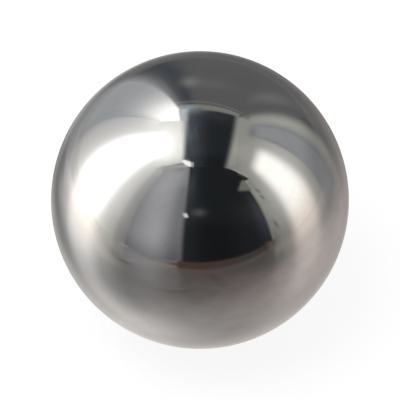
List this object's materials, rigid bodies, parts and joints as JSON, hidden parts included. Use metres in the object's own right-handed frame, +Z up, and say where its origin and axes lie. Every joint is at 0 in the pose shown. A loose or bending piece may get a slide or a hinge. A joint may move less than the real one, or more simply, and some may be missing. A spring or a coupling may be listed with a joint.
{
  "type": "steel ball",
  "caption": "Solid mirror-polished steel ball: a plain sphere with no hole, flat or seam, which rolls freely and lies still only in a cup, ring or seat.",
  "frame": {"origin": "centre of the ball", "axes": "+Z up as it lies; the ball is the same about every axis through its centre"},
  "size_m": [0.05, 0.05, 0.05],
  "materials": {
    "polished_steel": "bare steel, ground, lapped and polished to a mirror, with a trace of fine polishing haze"
  },
  "bodies": {
    "root": {"ball": "polished_steel"}
  },
  "joints": []
}
